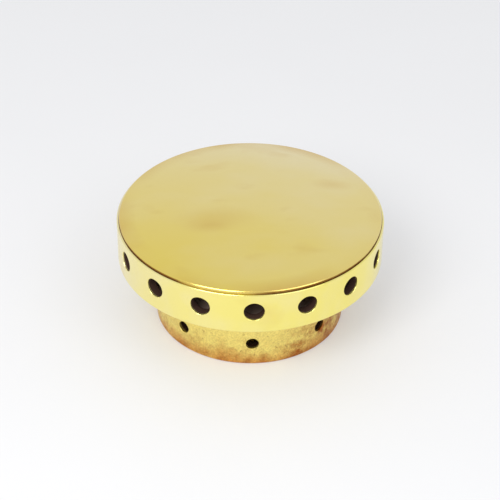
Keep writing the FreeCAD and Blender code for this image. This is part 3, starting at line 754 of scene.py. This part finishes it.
class STOVE_OT_skirt(bpy.types.Operator):
    """Cast skirt with its air holes"""

    bl_idname = "stove.skirt"
    bl_label = "Skirt"
    bl_options = {"REGISTER", "UNDO"}

    def execute(self, context):
        sizes, colours = chosen(context)
        # A drilled wall between two outlines, the rim and the foot, turned about the axis in the same steps.
        out, bore, rebate, top = sizes.skirt_radius, sizes.skirt_bore, sizes.skirt_rebate, sizes.skirt_top
        across, up = 36, 28
        steps = sizes.air_count * across
        first = FRONT - np.pi / sizes.air_count
        plate_top = high("base_plate").z
        groove_z, groove = 0.6 * MM, 0.52 * MM
        out_low, out_high = 0.7 * MM, top - 0.6 * MM
        in_low, in_high = plate_top + 0.2 * MM, top - 0.2 * MM
        wall = drilled_wall(
            (out, out_low, out_high), (bore, in_low, in_high), sizes.air_count,
            sizes.air_radius, sizes.air_height, across, up,
            rounding=0.2 * MM, ragged=0.07, seed=11, clean=0.6 * MM,
        )
        rim = rounded([(out, out_high), (out, top, 0.4 * MM), (bore, top, 0.1 * MM), (bore, in_high)])
        # The snap ring's groove is a half circle about (rebate, groove_z).
        turn = np.linspace(np.pi / 2, -np.pi / 2, 9)
        channel = np.stack([rebate + groove * np.cos(turn), groove_z + groove * np.sin(turn)], -1)
        foot = np.concatenate(
            [
                [(bore, in_low), (bore, plate_top), (rebate, plate_top), (rebate, groove_z + groove + 0.05 * MM)],
                channel,
                rounded([(rebate, 0), (out, 0, 0.5 * MM), (out, out_low)]),
            ]
        )
        upper = turned(rim, steps, first, closed=False)
        lower = turned(foot, steps, first, closed=False)
        points, faces = joined(wall[:2], upper, lower)
        # The bores of the air holes: painted shade deep inside.
        soot = np.concatenate([wall[2], np.zeros(len(upper[0]) + len(lower[0]))])
        casting = cast_brass(colours)
        piece("skirt_casting", (points, faces), casting, "base", ["base_skirt"], {"soot": soot})
        return {"FINISHED"}


class STOVE_OT_seal(bpy.types.Operator):
    """Sealing ring in the seam under the cover, browned with residue and painted seam shade"""

    bl_idname = "stove.seal"
    bl_label = "Seal"
    bl_options = {"REGISTER", "UNDO"}

    def execute(self, context):
        sizes, colours = chosen(context)
        # A flat ring: a rectangle with rounded outer corners, turned about the axis.
        inner, outer = sizes.band_radius - sizes.band_wall + 0.1 * MM, high("cover_gasket").x
        foot, top = low("cover_gasket").z, high("cover_gasket").z
        outline = rounded([(inner, foot), (outer, foot, 0.08 * MM), (outer, top, 0.08 * MM), (inner, top)], steps=3)
        points, faces = turned(outline, steps=256)
        # Residue and painted seam shade all round, left off at the front left where the lamp's highlight lies.
        marks = {"grime": seam_residue_and_shade(points, np.ones(len(points)))}
        graphite = browned_graphite(colours)
        piece("cover_seal", (points, faces), graphite, "head", ["cover_gasket"], marks)
        return {"FINISHED"}


class STOVE_OT_base_plate(bpy.types.Operator):
    """Base plate, its snap ring, the stop pin, the heat-break washer and the cup's screw"""

    bl_idname = "stove.base_plate"
    bl_label = "Base plate and fastenings"
    bl_options = {"REGISTER", "UNDO"}

    def execute(self, context):
        sizes, colours = chosen(context)
        # The plate, with its countersink, and the washer are outlines turned about the axis. The snap ring is a round
        # bar along an arc that leaves 26 degrees open.
        foot, top, edge = low("base_plate").z, high("base_plate").z, high("base_plate").x
        sink, bore = 2.95 * MM, SCREW_BORE
        sink_top = foot + sink - bore
        outline = rounded(
            [(sink, foot), (edge, foot, 0.25 * MM), (edge, top, 0.1 * MM), (bore, top), (bore, sink_top)]
        )
        disc = turned(outline, steps=256)
        piece("base_plate_disc", disc, sheet_brass(colours), "base", ["base_plate"])
        ring_z, wire = (low("base_snap_ring").z + high("base_snap_ring").z) / 2, 0.5 * MM
        half_gap, count = math.radians(13), 260
        azimuth = np.linspace(np.pi / 2 + half_gap, np.pi / 2 - half_gap + TURN, count)
        bar = tube(polar(sizes.skirt_rebate, azimuth, ring_z), wire, sides=14)
        piece("snap_ring_wire", bar, stainless_steel(colours), "base", ["base_snap_ring"])
        outer, seat = high("cup_spacer").x, high("cup_spacer").z
        outline = rounded([(bore, top), (outer, top, 0.1 * MM), (outer, seat, 0.1 * MM), (bore, seat)])
        board = soft_fibre("pressed_board", colours.board, spacing=0.667 * MM, roughness=0.85, depth=0.06 * MM)
        piece("heat_break_washer", turned(outline, steps=96), board, "base", ["cup_spacer"])
        for node in ("cup_screw", "stop_pin"):
            dress(node, stainless_steel(colours))
        return {"FINISHED"}


class STOVE_OT_cup(bpy.types.Operator):
    """Drawn spirit cup with its rolled lip"""

    bl_idname = "stove.cup"
    bl_label = "Spirit cup"
    bl_options = {"REGISTER", "UNDO"}

    def execute(self, context):
        colours = context.scene.stove_colours
        # An outline turned about the axis: floor, wall, rolled lip and a blind boss for the screw.
        foot, top = low("fuel_cup").z, high("fuel_cup").z
        wall, bead = 0.7 * MM, 0.7 * MM
        outer = high("fuel_cup").x - bead
        bore = outer - wall
        floor = foot + wall
        boss_r, boss_top = 3.5 * MM, floor + 3.4 * MM
        outline = rounded(
            [
                (SCREW_BORE, foot),
                (outer, foot, 1.6 * MM),
                (outer, top - 2 * bead, 0.1 * MM),
                (outer + bead, top - 2 * bead, bead * 0.6),
                (outer + bead, top, bead * 0.9),
                (bore, top, wall / 2),
                (bore, floor, 0.9 * MM),
                (boss_r, floor, 0.4 * MM),
                (boss_r, boss_top, 0.4 * MM),
                (0, boss_top),
                (0, boss_top - wall),
                (SCREW_BORE, boss_top - wall),
            ]
        )
        piece("spirit_cup", turned(outline, steps=192), sheet_brass(colours), "base", ["fuel_cup"])
        return {"FINISHED"}


class STOVE_OT_wick(bpy.types.Operator):
    """Wick packing, the woven gauze over it and the clip that holds the gauze"""

    bl_idname = "stove.wick"
    bl_label = "Wick, gauze and clip"
    bl_options = {"REGISTER", "UNDO"}

    def execute(self, context):
        sizes, colours = chosen(context)
        self.packing(colours)
        self.gauze(sizes, colours)
        self.clip(colours)
        return {"FINISHED"}

    def packing(self, colours):
        """Felt disc: a turned outline whose top rises and falls by sines of x and y."""
        edge, foot, top = high("wick_pad").x, low("wick_pad").z, high("wick_pad").z
        boss_r, boss_top, under, crown_rings = 3.7 * MM, 7.9 * MM, foot + 0.05 * MM, 59
        corners = [(0, boss_top), (boss_r, boss_top), (boss_r, under), (edge, under, 1.4 * MM), (edge, top, 1.1 * MM)]
        outline = rounded(corners, steps=8)
        crown = np.linspace(outline[-1, 0], 0, crown_rings + 1)[1:]
        outline = np.concatenate([outline, np.stack([crown, np.full(len(crown), top)], -1)])
        points, faces = turned(outline, steps=192, closed=False)
        x, y = points[:, 0], points[:, 1]
        above = np.clip((points[:, 2] - top + 0.6 * MM) / (0.6 * MM), 0, 1)
        # Tufts about 3.5 mm across, with finer ones of half the height between them.
        tufts = np.sin(x * 900 + 1.3) * np.sin(y * 830) + 0.5 * np.sin(x * 2100 + y * 1700)
        points[:, 2] -= above * (0.16 + 0.1 * tufts) * MM
        felt = soft_fibre("packed_felt", colours.felt, spacing=1.11 * MM, roughness=0.95, depth=0.3 * MM)
        made = piece("wick_packing", (points, faces), felt, "base", ["wick_pad"], sharp=80)

    def gauze(self, sizes, colours):
        """Woven wires: height is half the wire times cos(pi distance / pitch), neighbours in opposite phase."""
        disc_r = high("wick_gauze").x
        middle = (low("wick_gauze").z + high("wick_gauze").z) / 2
        pitch, radius = sizes.mesh_pitch, sizes.mesh_wire / 2
        crossing = radius * 1.02  # leaves a hair between two wires that cross
        reach, points_per_pitch = int((disc_r - radius) / pitch), 4
        wires = []
        for row in range(-reach, reach + 1):
            across = row * pitch
            half = math.sqrt((disc_r - radius) ** 2 - across**2)
            count = max(8, int(2 * half / pitch * points_per_pitch))
            along = np.linspace(-half, half, count)
            wave = crossing * np.cos(np.pi * along / pitch) * (-1) ** row
            side = np.full(count, across)
            wires.append(tube(np.stack([along, side, middle + wave], -1), radius, sides=6))
            wires.append(tube(np.stack([side, along, middle - wave], -1), radius, sides=6))
        bronze = plain_metal(
            "woven_bronze", colours.gauze, roughness=0.42, spacing=0.4 * MM, depth=0.03 * MM, blotch=0.55
        )
        piece("wick_gauze_weave", joined(*wires), bronze, "base", ["wick_gauze"], sharp=80)

    def clip(self, colours):
        """Split ring: a round bar along an arc that leaves 18 degrees open."""
        foot, top = low("gauze_clip").z, high("gauze_clip").z
        wire = (top - foot) / 2
        radius = high("wick_gauze").x - 0.35 * MM
        half_gap, middle, count = math.radians(9), math.radians(60), 220
        azimuth = np.linspace(middle + half_gap, middle - half_gap + TURN, count)
        bar = tube(polar(radius, azimuth, foot + wire), wire, sides=14)
        piece("gauze_clip_wire", bar, stainless_steel(colours), "base", ["gauze_clip"])


class STOVE_OT_shutter(bpy.types.Operator):
    """Air shutter inside the skirt"""

    bl_idname = "stove.shutter"
    bl_label = "Air shutter"
    bl_options = {"REGISTER", "UNDO"}

    def execute(self, context):
        colours = context.scene.stove_colours
        dress("air_shutter", sheet_brass(colours))
        return {"FINISHED"}


class STOVE_OT_head_fastenings(bpy.types.Operator):
    """Stud, nuts, washer, bridge, baffle and dowels inside the burner head"""

    bl_idname = "stove.head_fastenings"
    bl_label = "Head fastenings"
    bl_options = {"REGISTER", "UNDO"}

    def execute(self, context):
        colours = context.scene.stove_colours
        self.stud(colours)
        for node, name in (("bridge_nut", "bridge_nut_hexagon"), ("baffle_nut", "baffle_nut_hexagon")):
            self.nut(node, name, colours)
        self.washer(colours)
        self.bridge(colours)
        self.baffle(colours)
        dress("drive_dowels", stainless_steel(colours))
        return {"FINISHED"}

    def stud(self, colours):
        """Threaded bar: radius = mean + depth times the triangle wave of height / pitch minus azimuth / turn."""
        foot, top, radius = low("centre_stud").z, high("centre_stud").z, high("centre_stud").x
        pitch, depth, sides, rings_per_turn = 0.7 * MM, 0.34 * MM, 48, 10
        height = np.linspace(foot, top, int((top - foot) / pitch * rings_per_turn))
        azimuth = np.arange(sides) / sides * TURN
        phase = (height[:, None] / pitch - azimuth / TURN) % 1
        chamfer = np.minimum(height - foot, top - height)[:, None]
        rim = np.minimum(radius - depth * np.abs(2 * phase - 1), radius - 0.5 * MM + chamfer)
        points = polar(rim, azimuth, height[:, None])
        ends = points[[0, -1]] * [0, 0, 1]
        points = np.concatenate([ends[:1], points, ends[1:]])
        steel = stainless_steel(colours)
        piece("centre_stud_thread", gridded(points), steel, "head", ["centre_stud"], sharp=80)

    def nut(self, node, name, colours):
        """Hexagon nut: radius = the smaller of flats / 2 / cos(angle from the nearest flat) and a chamfer cone."""
        foot, top = low(node).z, high(node).z
        half, relief, sides, cone_slope = high(node).x, 0.25 * MM, 96, 1.7
        corner = half / math.cos(math.pi / 6)
        azimuth = np.arange(sides) / sides * TURN
        flat = half / np.cos((azimuth + np.pi / 6) % (np.pi / 3) - np.pi / 6)
        up = np.array([0, 0, 0.02, 0.1, 0.2, 0.3, 0.5, 0.7, 0.8, 0.9, 0.98, 1, 1]) * (top - foot) + foot
        cone = half + cone_slope * np.minimum(up - foot, top - up)
        outer = np.minimum(flat[None, :], np.minimum(cone, corner)[:, None])
        bore = np.full((1, sides), STUD_BORE)
        radius = np.concatenate([bore + relief, outer, bore + relief, bore, bore])
        height = np.concatenate([[foot], up, [top, top - relief, foot + relief]])[:, None]
        surface = gridded(polar(radius, azimuth, height), closed=True)
        piece(name, surface, stainless_steel(colours), "head", [node], sharp=25)

    def washer(self, colours):
        """Flat washer: a rectangle with rounded outer corners, turned about the axis."""
        (_, _, foot), (outer, _, top) = low("bridge_washer"), high("bridge_washer")
        corners = [(STUD_BORE, foot), (outer, foot, 0.12 * MM), (outer, top, 0.12 * MM), (STUD_BORE, top)]
        disc = turned(rounded(corners, steps=4), steps=96)
        piece("bridge_washer_disc", disc, stainless_steel(colours), "head", ["bridge_washer"])

    def bridge(self, colours):
        """Three-armed plate: its edge in polar form is the larger of the hub's radius and the nearest arm's edge.

        An arm's edge is the nearer of its side, half width / sin(angle from the arm), and its round end.
        """
        foot, top = low("bridge").z, high("bridge").z
        hub, reach, half, sides = 5.5 * MM, high("bridge").y, 2.5 * MM, 960
        azimuth = np.arange(sides) / sides * TURN
        off = (azimuth - np.pi / 2 + np.pi / 3) % (TURN / 3) - np.pi / 3
        side = half / np.maximum(np.abs(np.sin(off)), 1e-6)
        edge = np.maximum(hub, np.where(np.abs(off) < np.pi / 2, np.minimum(side, reach), 0))
        rounding = 0.25 * MM
        turn = np.linspace(0, np.pi / 2, 5)
        inset = np.concatenate([rounding * (1 - np.sin(turn)), rounding * (1 - np.cos(turn))])
        lift = np.concatenate([foot + rounding * (1 - np.cos(turn)), top - rounding * (1 - np.sin(turn))])
        outer = edge[None, :] - inset[:, None]
        inner = np.full((1, sides), STUD_BORE)
        between = inner + 0.6 * (hub - STUD_BORE)
        radius = np.concatenate([inner, between, outer, between, inner])
        height = np.concatenate([[foot, foot], lift, [top, top]])[:, None]
        surface = gridded(polar(radius, azimuth, height), closed=True)
        piece("bridge_spider", surface, sheet_brass(colours), "head", ["bridge"])

    def baffle(self, colours):
        """Dished disc: a flat round the stud, then a cone down to the rounded edge, turned about the axis."""
        (_, _, foot), (edge, _, top) = low("flame_baffle"), high("flame_baffle")
        wall, flat = 0.8 * MM, 5.6 * MM
        outline = rounded(
            [
                (STUD_BORE, top - wall),
                (flat, top - wall, 0.6 * MM),
                (edge, foot, 0.2 * MM),
                (edge, foot + wall, 0.2 * MM),
                (flat, top, 0.6 * MM),
                (STUD_BORE, top),
            ]
        )
        fired = plain_metal(
            "fired_brass", colours.oxide, roughness=0.5, spacing=0.556 * MM, depth=0.05 * MM, blotch=0.6
        )
        piece("flame_baffle_dish", turned(outline, steps=160), fired, "head", ["flame_baffle"])


class STOVE_OT_stage(bpy.types.Operator):
    """Pale floor, soft studio light and the camera"""

    bl_idname = "stove.stage"
    bl_label = "Stage"
    bl_options = {"REGISTER", "UNDO"}

    def execute(self, context):
        sizes, colours = chosen(context)
        scene = bpy.context.scene
        scene.view_settings.view_transform = "Standard"
        self.floor(colours)
        self.sky(scene)
        self.lamp("key_panel", place=(-0.19, -0.33, 0.38), size=0.26, power=1.3, tint=(1.0, 0.99, 0.97))
        self.lamp("fill_panel", place=(0.28, -0.34, 0.38), size=0.32, power=0.5, tint=(0.97, 0.98, 1.0))
        self.camera(scene, sizes)
        return {"FINISHED"}

    def floor(self, colours):
        """Level sheet: x and y run evenly from -1 to 1 metre, z is a hair below the stove's foot."""
        count, below = 5, 0.02 * MM
        line = np.linspace(-1.0, 1.0, count)
        x, y = np.meshgrid(line, line, indexing="ij")
        points = np.stack([x, y, 0 * x - below], -1).reshape(-1, 3)
        mesh = bpy.data.meshes.new("floor_sheet")
        mesh.from_pydata(points.tolist(), [], grid_faces(count, count).tolist())
        mesh.materials.append(self.card(colours.floor))
        sheet = bpy.data.objects.new("floor_sheet", mesh)
        bpy.context.scene.collection.objects.link(sheet)

    def card(self, tone):
        """White card: matt, faintly mottled, and glowing a little so that shadows on it stay pale."""
        made, tree, surface, place = finish("white_card")
        mottle = add(tree, "TexNoise", {"Vector": place, "Scale": 1 / (71.4 * MM), "Detail": 3.0})
        shade = add(tree, "ValToRGB", {"Fac": mottle}, [(0.3, [c * 0.985 for c in tone]), (0.7, tone)])
        feed(surface, {"Base Color": shade, "Roughness": 0.6, "Specular IOR Level": 0.2})
        feed(surface, {"Emission Color": tone, "Emission Strength": 0.39})
        return made

    def sky(self, scene):
        """Even white surroundings, faintly blue."""
        world = bpy.data.worlds.new("studio")
        scene.world = world
        world.use_nodes = True
        background = next(n for n in world.node_tree.nodes if n.type == "BACKGROUND")
        background.inputs["Color"].default_value = (0.97, 0.98, 1.0, 1)
        background.inputs["Strength"].default_value = 0.83

    def lamp(self, name, place, size, power, tint):
        """Square soft panel that faces the stove."""
        light = bpy.data.lights.new(name, "AREA")
        light.size, light.energy, light.color = size, power, tint
        made = bpy.data.objects.new(name, light)
        made.location = place
        made.rotation_mode = "QUATERNION"
        made.rotation_quaternion = (-Vector(place)).to_track_quat("-Z", "Y")
        bpy.context.scene.collection.objects.link(made)

    def camera(self, scene, sizes):
        """Camera on a circle round a point on the stove's axis, slightly rolled."""
        elevation, azimuth, roll = math.radians(35.83), math.radians(-2.0), math.radians(0.6)
        distance = 453.7 * MM
        aim = Vector((0, 0, sizes.seam - 12.4 * MM))
        level = math.cos(elevation)
        back = Vector((math.sin(azimuth) * level, -math.cos(azimuth) * level, math.sin(elevation)))
        data = bpy.data.cameras.new("camera")
        data.sensor_width, data.lens = 36.0, 112.9
        data.clip_start, data.clip_end = 0.01, 10
        made = bpy.data.objects.new("camera", data)
        made.location = aim + back * distance
        made.rotation_mode = "QUATERNION"
        made.rotation_quaternion = (-back).to_track_quat("-Z", "Y") @ Quaternion((0, 0, 1), roll)
        scene.collection.objects.link(made)
        scene.camera = made


class STOVE_PT_panel(bpy.types.Panel):
    """Lists the stove's operators, sizes and colours"""

    bl_idname = "STOVE_PT_panel"
    bl_label = "Brass spirit stove"
    bl_space_type = "VIEW_3D"
    bl_region_type = "UI"
    bl_category = "Stove"

    def draw(self, context):
        for operator in OPERATORS:
            self.layout.operator(operator.bl_idname)
        for group in (context.scene.stove_sizes, context.scene.stove_colours):
            column = self.layout.column()
            for name in group.__annotations__:
                column.prop(group, name)


OPERATORS = (
    STOVE_OT_stage,
    STOVE_OT_head_cover,
    STOVE_OT_head_ring,
    STOVE_OT_skirt,
    STOVE_OT_seal,
    STOVE_OT_base_plate,
    STOVE_OT_cup,
    STOVE_OT_wick,
    STOVE_OT_shutter,
    STOVE_OT_head_fastenings,
)
CLASSES = (StoveSizes, StoveColours, *OPERATORS, STOVE_PT_panel)


def register():
    """Registers the classes and hangs the two property groups on the scene."""
    for cls in CLASSES:
        bpy.utils.register_class(cls)
    bpy.types.Scene.stove_sizes = bpy.props.PointerProperty(type=StoveSizes)
    bpy.types.Scene.stove_colours = bpy.props.PointerProperty(type=StoveColours)


def unregister():
    """Takes everything that register added away again."""
    del bpy.types.Scene.stove_colours
    del bpy.types.Scene.stove_sizes
    for cls in reversed(CLASSES):
        bpy.utils.unregister_class(cls)


def main():
    """Builds the stove by calling each operator in turn."""
    register()
    for operator in OPERATORS:
        group, name = operator.bl_idname.split(".")
        getattr(getattr(bpy.ops, group), name)()


if __name__ == "__main__":
    main()
